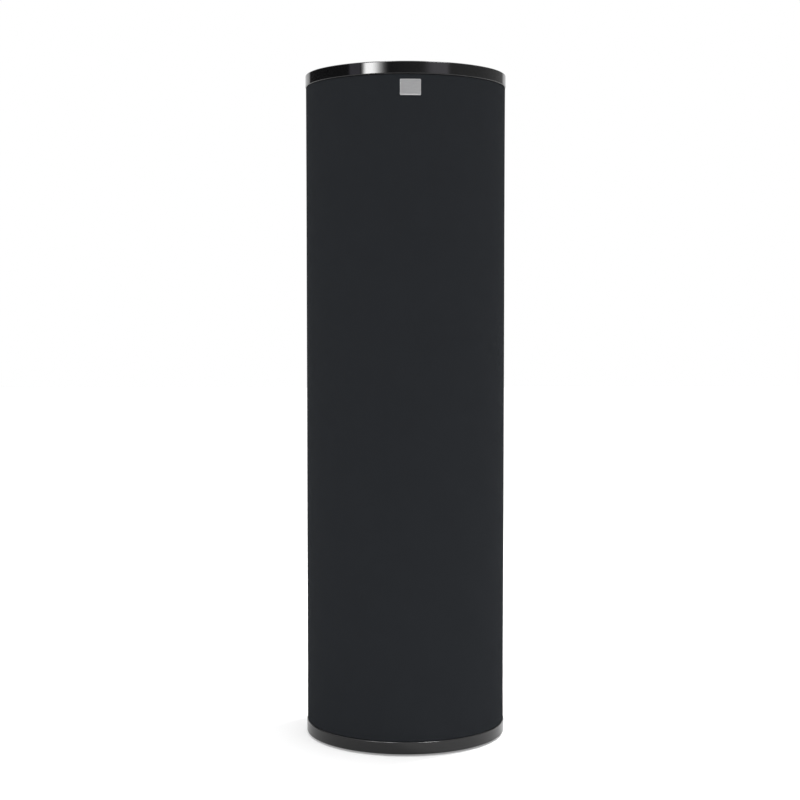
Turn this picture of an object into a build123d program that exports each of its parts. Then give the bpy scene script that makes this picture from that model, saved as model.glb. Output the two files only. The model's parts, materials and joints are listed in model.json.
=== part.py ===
"""A free-standing cylindrical bass trap: a mineral wool tube in a stretched fabric sleeve, closed by two
boards with glossy edge bands.

Millimetres, +Z up. The origin is on the floor under the column's axis, and the front, where the badge is,
faces -Y. From the outside in, the column is a fabric cover, a fleece wrap, tape bands, a perforated
reflector sheet on the front half, two wool half shells, and an air cavity that holds four uprights and a
baffle. The boards are screwed to the ends of the uprights, and clamp the cover's folded ends.
"""

from build123d import *
from math import cos, radians, sin, sqrt, tan
import os

# Driving dimensions --------------------------------------------------------------------------------
column_height = 1000.0  # underside of the bottom board to the top of the top board
board_radius = 150.0
board_thickness = 18.0

band_thickness = 2.0
band_edge_radius = 1.0
band_joint_gap = 0.3  # where the ends of the strip meet, at the rear

cover_thickness = 1.0
cover_corner = 2.0  # inside radius where the cover turns in over the end of the core
cover_fold = 30.0  # how far each end is folded in, from the cover's outside

fleece_thickness = 1.5
fleece_joint_gap = 0.8
tape_thickness = 0.5
tape_width = 25.0
tape_count = 3
tape_end_distance = 130.0  # from a board to the middle of the nearest tape band

reflector_thickness = 1.0
reflector_hole_radius = 9.0
reflector_hole_columns = 8
reflector_hole_column_angle = 20.0
reflector_hole_row_pitch = 60.0
reflector_hole_margin = 60.0  # at least, from an end of the sheet to the middle of the nearest row

wool_wall = 48.0

upright_count = 4
upright_width = 30.0
upright_depth = 20.0
upright_chamfer = 1.5
upright_clearance = 0.3  # between an upright's corners and the wool

baffle_thickness = 12.0
baffle_clearance = 0.3  # to the wool, and on each side of an upright

screw_radius = 2.25
screw_core_radius = 1.5
screw_head_radius = 4.5
screw_cone_angle = 90.0
screw_thread_pitch = 2.0
screw_thread_clearance = 0.05
screw_point = 4.0
screw_recess_length = 4.6
screw_recess_width = 0.9
screw_recess_depth = 2.0
board_screw_length = 50.0
baffle_screw_length = 40.0
pilot_extra_depth = 2.0  # past the screw's point

cap_radius = 7.0
cap_thickness = 0.6
cap_clearance = 0.2

foot_count = 4
foot_height = 3.0
foot_radius = 11.0
foot_edge_radius = 0.8
foot_edge_distance = 24.0  # from the rim of the board to the foot's nearest edge
foot_stem_radius = 3.5
foot_neck = 1.0  # of the stem, between the head and the first barb
foot_barb_radius = 4.2
foot_barb_pitch = 3.0
foot_barb_count = 3
foot_hole_clearance = 0.1
foot_hole_extra_depth = 1.0

badge_width = 30.0
badge_height = 23.0
badge_thickness = 0.5
badge_corner = 1.2
badge_glue = 0.2
badge_below_board = 7.5  # from the underside of the top board to the badge's upper edge

# Levels and radii that follow ----------------------------------------------------------------------
bottom_board_z = foot_height
core_bottom_z = bottom_board_z + board_thickness
top_z = foot_height + column_height
core_top_z = top_z - board_thickness
core_length = core_top_z - core_bottom_z
core_middle_z = (core_bottom_z + core_top_z) / 2

band_radius = board_radius + band_thickness
cover_radius = board_radius + cover_thickness
cover_outer_corner = cover_corner + cover_thickness
cover_fold_radius = cover_radius - cover_fold

fleece_inner_radius = board_radius - fleece_thickness
tape_inner_radius = fleece_inner_radius - tape_thickness
wool_outer_radius = tape_inner_radius
reflector_inner_radius = wool_outer_radius - reflector_thickness
wool_inner_radius = wool_outer_radius - wool_wall
wool_bottom_z = core_bottom_z + cover_thickness
wool_top_z = core_top_z - cover_thickness
wool_length = wool_top_z - wool_bottom_z

upright_corner_radius = wool_inner_radius - upright_clearance
upright_outer_face = sqrt(upright_corner_radius**2 - (upright_width / 2) ** 2)
upright_inner_face = upright_outer_face - upright_depth
upright_axis_radius = (upright_outer_face + upright_inner_face) / 2

baffle_radius = wool_inner_radius - baffle_clearance

screw_cone_depth = (screw_head_radius - screw_core_radius) / tan(radians(screw_cone_angle / 2))
pilot_radius = screw_radius
top_screw_z = top_z - cap_thickness

top_pilot_depth = board_screw_length + pilot_extra_depth - (board_thickness - cap_thickness)
bottom_pilot_depth = board_screw_length + pilot_extra_depth - board_thickness

foot_centre_radius = board_radius - foot_edge_distance - foot_radius
foot_stem_length = foot_neck + foot_barb_pitch * foot_barb_count
foot_hole_radius = foot_barb_radius + foot_hole_clearance

badge_middle_z = core_top_z - badge_below_board - badge_height / 2

reflector_hole_span = wool_length - 2 * reflector_hole_margin
reflector_hole_rows = int(reflector_hole_span / reflector_hole_row_pitch) + 1

front_angle = -90.0
upright_angles = [front_angle + index * 360 / upright_count for index in range(upright_count)]
foot_angles = [front_angle / 2 + index * 360 / foot_count for index in range(foot_count)]
reflector_hole_angles = [
    front_angle + (index - (reflector_hole_columns - 1) / 2) * reflector_hole_column_angle
    for index in range(reflector_hole_columns)
]

front_start = Plane(origin=(0, 0, 0), x_dir=(-1, 0, 0), z_dir=(0, 1, 0))  # a half turn from -X by -Y
rear_start = Plane.XZ

os.makedirs("parts", exist_ok=True)


def save(part, name):
    """Labels a finished piece and writes it as the node of that name."""
    part.label = name
    export_step(part, f"parts/{name}.step")


def outwards_at(angle):
    """The horizontal unit vector at an angle from +X."""
    return Vector(cos(radians(angle)), sin(radians(angle)), 0)


def outwards_plane(angle, distance):
    """A plane square to the radius at that angle, at mid height, looking outwards, with X up."""
    centre = outwards_at(angle) * distance + Vector(0, 0, core_middle_z)
    return Plane(origin=centre, x_dir=(0, 0, 1), z_dir=outwards_at(angle))


def upright_spots():
    """The uprights' places on a horizontal plane: front, right, rear and left."""
    return PolarLocations(upright_axis_radius, upright_count, start_angle=front_angle)


def foot_spots():
    """The feet's places on a horizontal plane, between the uprights."""
    return PolarLocations(foot_centre_radius, foot_count, start_angle=foot_angles[0])


# End boards ----------------------------------------------------------------------------------------
with BuildPart() as bottom_board:
    with BuildSketch(Plane.XY.offset(bottom_board_z)):
        Circle(board_radius)
    extrude(amount=board_thickness)
    with Locations(Plane.XY.offset(bottom_board_z).rotated((180, 0, 0))):
        with upright_spots():
            CounterSinkHole(
                screw_radius, screw_head_radius, depth=board_thickness, counter_sink_angle=screw_cone_angle
            )
        with foot_spots():
            Hole(foot_hole_radius, depth=foot_stem_length + foot_hole_extra_depth)
save(bottom_board.part, "bottom_board")

with BuildPart() as top_board:
    with BuildSketch(Plane.XY.offset(core_top_z)):
        Circle(board_radius)
    extrude(amount=board_thickness)
    with Locations(Plane.XY.offset(top_z)):
        with upright_spots():
            Hole(cap_radius + cap_clearance, depth=cap_thickness)
    with Locations(Plane.XY.offset(top_screw_z)):
        with upright_spots():
            CounterSinkHole(
                screw_radius, screw_head_radius, depth=board_thickness, counter_sink_angle=screw_cone_angle
            )
save(top_board.part, "top_board")


def make_edge_band(name, low_z):
    """The glossy strip glued round a board, with its long outer edges rounded and its ends butted."""
    with BuildPart() as band:
        with BuildSketch(Plane.XY.offset(low_z)):
            Circle(band_radius)
            Circle(board_radius, mode=Mode.SUBTRACT)
        extrude(amount=board_thickness)
        outside = band.edges().filter_by(GeomType.CIRCLE).group_by(SortBy.RADIUS)[-1]
        fillet(outside, radius=band_edge_radius)
        with BuildSketch(Plane.XY.offset(low_z)):
            with Locations((0, board_radius)):
                Rectangle(band_joint_gap, 2 * (band_thickness + band_edge_radius))
        extrude(amount=board_thickness, mode=Mode.SUBTRACT)
    save(band.part, name)


make_edge_band("bottom_edge_band", bottom_board_z)
make_edge_band("top_edge_band", core_top_z)

# Fabric cover and the layers under it --------------------------------------------------------------
with BuildPart() as fabric_cover:
    with BuildSketch(Plane.XZ):
        with BuildLine():
            outside_line = FilletPolyline(
                (cover_fold_radius, core_bottom_z),
                (cover_radius, core_bottom_z),
                (cover_radius, core_top_z),
                (cover_fold_radius, core_top_z),
                radius=cover_outer_corner,
            )
            inside_line = FilletPolyline(
                (cover_fold_radius, wool_bottom_z),
                (board_radius, wool_bottom_z),
                (board_radius, wool_top_z),
                (cover_fold_radius, wool_top_z),
                radius=cover_corner,
            )
            Line(outside_line @ 0, inside_line @ 0)
            Line(outside_line @ 1, inside_line @ 1)
        make_face()
    revolve(axis=Axis.Z)
save(fabric_cover.part, "fabric_cover")

with BuildPart() as fleece_wrap:
    with BuildSketch(Plane.XY.offset(core_bottom_z + cover_outer_corner)):
        Circle(board_radius)
        Circle(fleece_inner_radius, mode=Mode.SUBTRACT)
        with Locations((0, board_radius)):
            Rectangle(fleece_joint_gap, 2 * (fleece_thickness + tape_thickness), mode=Mode.SUBTRACT)
    extrude(amount=core_length - 2 * cover_outer_corner)
save(fleece_wrap.part, "fleece_wrap")

tape_lowest_z = core_bottom_z + tape_end_distance
tape_pitch = (core_length - 2 * tape_end_distance) / (tape_count - 1)
with BuildPart() as tape_bands:
    for index in range(tape_count):
        with BuildSketch(Plane.XY.offset(tape_lowest_z + index * tape_pitch - tape_width / 2)):
            Circle(fleece_inner_radius)
            Circle(tape_inner_radius, mode=Mode.SUBTRACT)
        extrude(amount=tape_width)
save(tape_bands.part, "core_tape_bands")


def half_tube(start, inner, outer):
    """A half tube the length of the wool, turned through 180 degrees from the start plane."""
    with BuildPart() as tube:
        with BuildSketch(start):
            with Locations(((inner + outer) / 2, wool_bottom_z)):
                Rectangle(outer - inner, wool_length, align=(Align.CENTER, Align.MIN))
        revolve(axis=Axis.Z, revolution_arc=180)
    return tube.part


with BuildPart() as reflector_sheet:
    add(half_tube(front_start, reflector_inner_radius, wool_outer_radius))
    for angle in reflector_hole_angles:
        with BuildSketch(outwards_plane(angle, wool_inner_radius)):
            with GridLocations(reflector_hole_row_pitch, 1, reflector_hole_rows, 1):
                Circle(reflector_hole_radius)
        extrude(amount=wool_wall, mode=Mode.SUBTRACT)
save(reflector_sheet.part, "reflector_sheet")

with BuildPart() as front_wool_shell:
    add(half_tube(front_start, wool_inner_radius, reflector_inner_radius))
save(front_wool_shell.part, "front_wool_shell")

with BuildPart() as rear_wool_shell:
    add(half_tube(rear_start, wool_inner_radius, wool_outer_radius))
save(rear_wool_shell.part, "rear_wool_shell")


# Frame inside the air cavity -----------------------------------------------------------------------
def make_upright(name, angle):
    """A pine batten with a pilot hole in each end and a countersunk hole for its baffle screw."""
    stand = Plane(
        origin=outwards_at(angle) * upright_axis_radius + Vector(0, 0, core_bottom_z),
        x_dir=outwards_at(angle),
        z_dir=(0, 0, 1),
    )
    with BuildPart() as upright:
        with BuildSketch(stand):
            Rectangle(upright_depth, upright_width)
        extrude(amount=core_length)
        chamfer(upright.edges().filter_by(Axis.Z), length=upright_chamfer)
        with Locations(stand.offset(core_length)):
            Hole(pilot_radius, depth=top_pilot_depth)
        with Locations(stand.rotated((180, 0, 0))):
            Hole(pilot_radius, depth=bottom_pilot_depth)
        with Locations(outwards_plane(angle, upright_outer_face)):
            CounterSinkHole(
                screw_radius, screw_head_radius, depth=upright_depth, counter_sink_angle=screw_cone_angle
            )
    save(upright.part, name)


upright_names = ["front_upright", "right_upright", "rear_upright", "left_upright"]
for name, angle in zip(upright_names, upright_angles):
    make_upright(name, angle)

with BuildPart() as baffle:
    with BuildSketch(Plane.XY.offset(core_middle_z - baffle_thickness / 2)):
        Circle(baffle_radius)
        with PolarLocations(upright_inner_face, upright_count, start_angle=front_angle):
            Rectangle(
                baffle_radius,
                upright_width + 2 * baffle_clearance,
                align=(Align.MIN, Align.CENTER),
                mode=Mode.SUBTRACT,
            )
    extrude(amount=baffle_thickness)
    for angle in upright_angles:
        with Locations(outwards_plane(angle, upright_inner_face)):
            Hole(pilot_radius, depth=baffle_screw_length + pilot_extra_depth - upright_depth)
save(baffle.part, "middle_baffle")


# Screws, caps and feet -----------------------------------------------------------------------------
def make_screw(length):
    """A countersunk wood screw pointing down from the origin, its thread drawn as rings."""
    crest = screw_radius - screw_thread_clearance
    thread_rings = int((length - screw_point - screw_cone_depth) / screw_thread_pitch)
    thread_end = -length + screw_point
    with BuildPart() as screw:
        with BuildSketch(Plane.XZ):
            with BuildLine():
                outline = [(0, -length), (screw_core_radius, thread_end)]
                for ring in range(thread_rings):
                    ring_z = thread_end + ring * screw_thread_pitch
                    outline.append((crest, ring_z + screw_thread_pitch / 2))
                    outline.append((screw_core_radius, ring_z + screw_thread_pitch))
                outline.append((screw_core_radius, -screw_cone_depth))
                outline.append((screw_head_radius, 0))
                outline.append((0, 0))
                Polyline(*outline, close=True)
            make_face()
        revolve(axis=Axis.Z)
        with BuildSketch(Plane.XY):
            Rectangle(screw_recess_length, screw_recess_width)
            Rectangle(screw_recess_width, screw_recess_length)
        extrude(amount=-screw_recess_depth, mode=Mode.SUBTRACT)
    return screw.part


board_screw = make_screw(board_screw_length)
baffle_screw = make_screw(baffle_screw_length)

with BuildPart() as top_screws:
    with Locations((0, 0, top_screw_z)):
        with upright_spots():
            add(board_screw)
save(top_screws.part, "top_board_screws")

with BuildPart() as bottom_screws:
    with Locations((0, 0, bottom_board_z)):
        with upright_spots():
            add(board_screw, rotation=(180, 0, 0))
save(bottom_screws.part, "bottom_board_screws")

with BuildPart() as baffle_screws:
    for angle in upright_angles:
        with Locations(outwards_plane(angle, upright_outer_face)):
            add(baffle_screw)
save(baffle_screws.part, "baffle_screws")

with BuildPart() as screw_caps:
    with BuildSketch(Plane.XY.offset(top_screw_z)):
        with upright_spots():
            Circle(cap_radius)
    extrude(amount=cap_thickness)
save(screw_caps.part, "top_screw_caps")


def make_foot(name, angle):
    """A rubber foot with a flat round head and a barbed stem pressed into the bottom board."""
    centre = outwards_at(angle) * foot_centre_radius
    with BuildPart() as foot:
        with BuildSketch(Plane(origin=centre, x_dir=(1, 0, 0), z_dir=(0, -1, 0))):
            with BuildLine():
                outline = [(0, 0), (foot_radius, 0), (foot_radius, foot_height)]
                outline.append((foot_stem_radius, foot_height))
                for barb in range(foot_barb_count):
                    barb_z = foot_height + foot_neck + barb * foot_barb_pitch
                    outline.append((foot_barb_radius, barb_z))
                    outline.append((foot_stem_radius, barb_z + foot_barb_pitch))
                outline.append((0, foot_height + foot_stem_length))
                Polyline(*outline, close=True)
            make_face()
        revolve(axis=Axis(centre, (0, 0, 1)))
        rim = foot.edges().filter_by(GeomType.CIRCLE).group_by(SortBy.RADIUS)[-1]
        fillet(rim.group_by(Axis.Z)[0], radius=foot_edge_radius)
    save(foot.part, name)


foot_names = ["front_right_foot", "rear_right_foot", "rear_left_foot", "front_left_foot"]
for name, angle in zip(foot_names, foot_angles):
    make_foot(name, angle)


# Badge ---------------------------------------------------------------------------------------------
def make_badge_layer(name, inner, thickness):
    """A round-cornered rectangle bent to the column, at the front below the top board."""
    with BuildPart() as layer:
        with BuildSketch(Plane.XZ.offset(wool_outer_radius)):
            with Locations((0, badge_middle_z)):
                RectangleRounded(badge_width, badge_height, badge_corner)
        extrude(amount=cover_radius)
        with BuildSketch(Plane.XY.offset(badge_middle_z - badge_height)):
            Circle(inner + thickness)
            Circle(inner, mode=Mode.SUBTRACT)
        extrude(amount=2 * badge_height, mode=Mode.INTERSECT)
    save(layer.part, name)


make_badge_layer("badge_adhesive", cover_radius, badge_glue)
make_badge_layer("badge_plate", cover_radius + badge_glue, badge_thickness)
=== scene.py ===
"""The looks of a cylindrical bass trap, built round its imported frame.

A tight black fabric sleeve stands between two boards with glossy edge bands. Outside, the script makes the
sleeve with its sewn rear seam, the edge bands, the badge and the screw caps, and dresses the boards and feet.
Inside, it makes the fleece, the tape and the wool, and dresses the battens, the screws and the reflector.
Metres, +Z up, with the front towards -Y.
"""

import json
import logging
import math
from dataclasses import dataclass, field
from enum import Enum
from typing import Union

import bmesh
import bpy
import numpy as np
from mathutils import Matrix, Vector


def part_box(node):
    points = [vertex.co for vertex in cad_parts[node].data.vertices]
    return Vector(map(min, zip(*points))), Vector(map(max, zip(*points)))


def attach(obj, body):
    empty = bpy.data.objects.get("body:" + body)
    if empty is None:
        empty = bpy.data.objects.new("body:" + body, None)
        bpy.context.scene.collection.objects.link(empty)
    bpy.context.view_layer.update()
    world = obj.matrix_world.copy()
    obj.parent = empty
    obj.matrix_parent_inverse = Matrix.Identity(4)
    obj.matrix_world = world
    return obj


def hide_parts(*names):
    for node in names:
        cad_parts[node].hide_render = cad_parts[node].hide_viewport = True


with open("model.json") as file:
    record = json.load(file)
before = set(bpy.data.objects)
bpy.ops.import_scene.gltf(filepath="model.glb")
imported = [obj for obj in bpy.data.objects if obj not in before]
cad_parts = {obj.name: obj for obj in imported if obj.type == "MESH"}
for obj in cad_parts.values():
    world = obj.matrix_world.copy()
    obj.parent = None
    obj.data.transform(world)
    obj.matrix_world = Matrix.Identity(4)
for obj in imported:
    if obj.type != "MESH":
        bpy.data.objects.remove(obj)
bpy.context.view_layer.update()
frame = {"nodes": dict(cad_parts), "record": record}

log = logging.getLogger("bass_trap")

Socket = bpy.types.NodeSocket
Value = Union[Socket, float, tuple]  # what an input socket takes: a link or a constant
Colour = tuple[float, float, float, float]
Waves = tuple[tuple[int, float], ...]  # how often each goes round, and its radians in a metre up

BODY = "root"
UV_NAME = "surface_m"  # every made piece's UV map is in metres along its surface
EDGE_NAME = "edge"  # the attribute that is 1 on an exposed edge
DECIMALS = 4  # a size read from the frame is kept to a tenth of a millimetre
FRONT = -math.pi / 2
REAR = math.pi / 2


# Reading the frame --------------------------------------------------------------------------------
def outer_radius(node: str) -> float:
    """Reads the outer radius of a round node on the column's axis.

    Args:
        node: the node's name.

    Returns:
        The radius.
    """
    low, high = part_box(node)
    return round((high.x - low.x) / 2, DECIMALS)


def levels(node: str) -> tuple[float, float]:
    """Reads how low and how high a node reaches.

    Args:
        node: the node's name.

    Returns:
        Its lowest and its highest level.
    """
    low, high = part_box(node)
    return round(low.z, DECIMALS), round(high.z, DECIMALS)


def slot_colour(slot: str) -> tuple[float, float, float]:
    """Reads the colour that the record gives a material slot.

    Args:
        slot: the slot's name.

    Returns:
        Its linear base colour.
    """
    found = next(m for m in frame["record"]["materials"] if m["slot"] == slot)
    return tuple(found["base_color"][:3])


# Meshes -------------------------------------------------------------------------------------------
def add_mesh_object(name: str, mesh: bpy.types.Mesh) -> bpy.types.Object:
    """Links a new object for a mesh, at the origin.

    Args:
        name: the piece's name.
        mesh: its mesh, already in place.

    Returns:
        The object.
    """
    piece = bpy.data.objects.new(name, mesh)
    bpy.context.scene.collection.objects.link(piece)
    return piece


def add_surface(
    name: str, points: list, faces: list, uv: np.ndarray, edge: np.ndarray | None = None
) -> bpy.types.Object:
    """Makes a smooth closed piece with its faces outwards, its UV map and its edge attribute.

    Args:
        name: the piece's name.
        points: its points.
        faces: the point numbers of each face.
        uv: one row in metres for each face corner.
        edge: for each point, 1 on an exposed edge and else 0.

    Returns:
        The object, at the origin.
    """
    mesh = bpy.data.meshes.new(name)
    mesh.from_pydata(points, [], faces)
    mesh.uv_layers.new(name=UV_NAME).uv.foreach_set("vector", uv.astype(np.float32).ravel())
    if edge is not None:
        worn = mesh.attributes.new(EDGE_NAME, "FLOAT", "POINT")
        worn.data.foreach_set("value", edge.astype(np.float32))
    mesh.shade_smooth()
    shape = bmesh.new()
    shape.from_mesh(mesh)
    bmesh.ops.recalc_face_normals(shape, faces=shape.faces)
    shape.to_mesh(mesh)
    shape.free()
    return add_mesh_object(name, mesh)


@dataclass
class SurfaceGrid:
    """A grid of points that becomes a closed mesh of quads.

    Rows run round a cross-section and columns run along the piece. The rows always close on themselves.
    The columns either close too, or end in a flat cap at each end.
    """

    points: np.ndarray  # rows x columns x 3
    along_rows: np.ndarray  # metres along the cross-section, one more than the rows
    along_columns: np.ndarray  # metres along the piece, one more than the columns if they close
    closed_columns: bool
    edge: np.ndarray | None = None  # 1 on the rows that are an exposed edge, else 0
    turned: bool = False  # whether the UV map's first axis runs along the rows

    def build(self, name: str) -> bpy.types.Object:
        """Makes the piece.

        Args:
            name: the piece's name.

        Returns:
            The object, at the origin.
        """
        rows, columns = self.points.shape[:2]
        column_steps = columns if self.closed_columns else columns - 1
        row, column = np.meshgrid(np.arange(rows), np.arange(column_steps), indexing="ij")
        corners = [(row, column), (row, column + 1), (row + 1, column + 1), (row + 1, column)]
        quads = np.stack([(r % rows) * columns + c % columns for r, c in corners], axis=-1)
        faces = quads.reshape(-1, 4).tolist()
        places = [np.stack([self.along_columns[c], self.along_rows[r]], axis=-1) for r, c in corners]
        uv = np.stack(places, axis=-2).reshape(-1, 2)
        if not self.closed_columns:
            first = np.arange(rows) * columns
            faces += [first[::-1].tolist(), (first + columns - 1).tolist()]
            uv = np.concatenate([uv, self._cap_uv(0)[::-1], self._cap_uv(-1)])
        if self.turned:
            uv = uv[:, ::-1]
        edge = None if self.edge is None else np.repeat(self.edge, columns)
        return add_surface(name, self.points.reshape(-1, 3).tolist(), faces, uv, edge)

    def _cap_uv(self, column: int) -> np.ndarray:
        """Maps an end cap by how far out and how high its points are.

        Args:
            column: the column that ends the piece.

        Returns:
            rows x 2.
        """
        ring = self.points[:, column]
        return np.stack([np.hypot(ring[:, 0], ring[:, 1]), ring[:, 2]], axis=-1)


def revolve(profile: np.ndarray, angles: np.ndarray, relief: np.ndarray) -> np.ndarray:
    """Turns a profile of (radius, height) rows about the column's axis.

    Args:
        profile: rows x 2.
        angles: one angle for each column, in radians.
        relief: rows x columns, added to the radius.

    Returns:
        rows x columns x 3 points.
    """
    radius = profile[:, :1] + relief
    height = np.broadcast_to(profile[:, 1:], radius.shape)
    return np.stack([radius * np.cos(angles), radius * np.sin(angles), height], axis=-1)


def distances(profile: np.ndarray) -> np.ndarray:
    """Measures how far each row of a closed profile is along it.

    Args:
        profile: rows x 2.

    Returns:
        One number for each row, and the profile's whole length.
    """
    steps = np.linalg.norm(np.roll(profile, -1, axis=0) - profile, axis=1)
    return np.concatenate([[0.0], np.cumsum(steps)])


def arc(centre: tuple[float, float], radius: float, start: float, end: float, steps: int) -> list[tuple]:
    """Places points along a round corner, both ends included.

    Args:
        centre: the corner's centre.
        radius: the corner's own radius.
        start: its first angle, in degrees from the first axis.
        end: its last angle.
        steps: how many chords it has.

    Returns:
        The points.
    """
    turns = np.radians(np.linspace(start, end, steps + 1))
    return [(centre[0] + radius * math.cos(t), centre[1] + radius * math.sin(t)) for t in turns]


def waves(shape: Waves, angles: np.ndarray, heights: np.ndarray, seed: int) -> np.ndarray:
    """Sums waves to a smooth relief from -1 to 1 that closes round the column.

    Args:
        shape: the waves.
        angles: the columns' angles.
        heights: the rows' levels.
        seed: picks the waves' phases.

    Returns:
        rows x columns.
    """
    phases = np.random.default_rng(seed).uniform(0, math.tau, len(shape))
    total = np.zeros((len(heights), len(angles)))
    for (count, climb), phase in zip(shape, phases):
        total += np.sin(count * angles[None, :] + climb * heights[:, None] + phase)
    return total / len(shape)


def split_ring(gap: float, radius: float, columns: int) -> np.ndarray:
    """Spaces columns round a ring that is split at the rear.

    Args:
        gap: the width of the split.
        radius: where the gap is measured.
        columns: how many columns there are.

    Returns:
        Their angles.
    """
    half_gap = gap / 2 / radius
    return REAR + np.linspace(half_gap, math.tau - half_gap, columns)


def settle(piece: bpy.types.Object, slot: str, material: bpy.types.Material, *nodes: str) -> bpy.types.Object:
    """Dresses a made piece, logs its slot, hides the nodes that it stands for, and lets it ride.

    Args:
        piece: the made piece.
        slot: the record's material slot.
        material: its finish.
        nodes: the frame's nodes that it replaces.

    Returns:
        The same piece.
    """
    if not piece.data.materials:
        piece.data.materials.append(material)
    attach(piece, BODY)
    if nodes:
        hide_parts(*nodes)
    log.info("%s: %d faces, slot %s", piece.name, len(piece.data.polygons), slot)
    return piece


# Node trees ---------------------------------------------------------------------------------------
class Nodes:
    """Adds nodes to one tree and links them as it goes."""

    def __init__(self, tree: bpy.types.NodeTree) -> None:
        """Starts with whatever the tree holds.

        Args:
            tree: a shader, world, light or geometry tree.
        """
        self.tree = tree

    def add(self, kind: str, inputs: dict | None = None, **settings: object) -> bpy.types.Node:
        """Adds a node.

        Args:
            kind: the node's type.
            inputs: socket name or number to a value, or to a socket to link from.
            settings: the node's own properties.

        Returns:
            The node.
        """
        node = self.tree.nodes.new(kind)
        for key, value in settings.items():
            setattr(node, key, value)
        for key, value in (inputs or {}).items():
            self.feed(node.inputs[key], value)
        return node

    def feed(self, socket: Socket, value: Value) -> None:
        """Links an input socket, or sets it.

        Args:
            socket: the input socket.
            value: an output socket to link from, or a constant.
        """
        if isinstance(value, Socket):
            self.tree.links.new(value, socket)
        else:
            socket.default_value = value

    def math(self, operation: str, first: Value, second: Value = 0.0, clamp: bool = False) -> Socket:
        """Does one sum on two numbers.

        Args:
            operation: the Math node's operation.
            first: the first number.
            second: the second number, if the operation takes two.
            clamp: whether the result is held between 0 and 1.

        Returns:
            The result.
        """
        node = self.add("ShaderNodeMath", {0: first, 1: second}, operation=operation, use_clamp=clamp)
        return node.outputs[0]

    def times(self, first: Value, second: Value) -> Socket:
        """Multiplies two numbers.

        Args:
            first: the first number.
            second: the second number.

        Returns:
            The product.
        """
        return self.math("MULTIPLY", first, second)

    def span(
        self, value: Value, low: Value, high: Value, to_low: Value = 0.0, to_high: Value = 1.0
    ) -> Socket:
        """Carries a number from one range to another with soft ends.

        Args:
            value: the number.
            low: where the first range starts.
            high: where it ends.
            to_low: what the start becomes.
            to_high: what the end becomes.

        Returns:
            The number carried over, held within the second range.
        """
        inputs = {"Value": value, "From Min": low, "From Max": high, "To Min": to_low, "To Max": to_high}
        return self.add("ShaderNodeMapRange", inputs, interpolation_type="SMOOTHSTEP").outputs[0]

    def blend(self, share: Value, first: Value, second: Value, kind: str = "Color") -> Socket:
        """Mixes two colours or two numbers.

        Args:
            share: how much of the second there is, from 0 to 1.
            first: the first colour or number.
            second: the second one.
            kind: Color or Float.

        Returns:
            The mixture.
        """
        node = self.add("ShaderNodeMix", data_type="RGBA" if kind == "Color" else "FLOAT")
        sockets = {socket.identifier: socket for socket in (*node.inputs, *node.outputs)}
        for key, value in (("Factor_Float", share), (f"A_{kind}", first), (f"B_{kind}", second)):
            self.feed(sockets[key], value)
        return sockets[f"Result_{kind}"]

    def stretched(self, vector: Value, scale: tuple[float, float, float]) -> Socket:
        """Scales a vector along each axis.

        Args:
            vector: the vector.
            scale: the three factors.

        Returns:
            The scaled vector.
        """
        return self.add("ShaderNodeMapping", {"Vector": vector, "Scale": scale}).outputs[0]

    def axes(self, vector: Value) -> tuple[Socket, Socket, Socket]:
        """Takes a vector apart.

        Args:
            vector: the vector.

        Returns:
            Its X, Y and Z.
        """
        return tuple(self.add("ShaderNodeSeparateXYZ", {0: vector}).outputs)

    def noise(self, vector: Value, scale: Value, detail: Value = 2.0, roughness: float = 0.5) -> Socket:
        """Reads a noise texture.

        Args:
            vector: where it is read.
            scale: lumps in a unit of the vector.
            detail: how many finer layers there are.
            roughness: how strong the finer layers are.

        Returns:
            A number that keeps mostly between 0.3 and 0.7.
        """
        inputs = {"Vector": vector, "Scale": scale, "Detail": detail, "Roughness": roughness}
        return self.add("ShaderNodeTexNoise", inputs).outputs[0]


class Effect(Enum):
    """The effects that more than one finish uses, each a node group."""

    VARIATION = "surface_variation"
    WEAVE = "cloth_weave"
    SCRATCHES = "fine_scratches"
    DUST = "dust_and_lint"
    EDGE_WEAR = "edge_wear"
    WOOD = "wood_grain"
    FIBRES = "matted_fibres"


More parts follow.
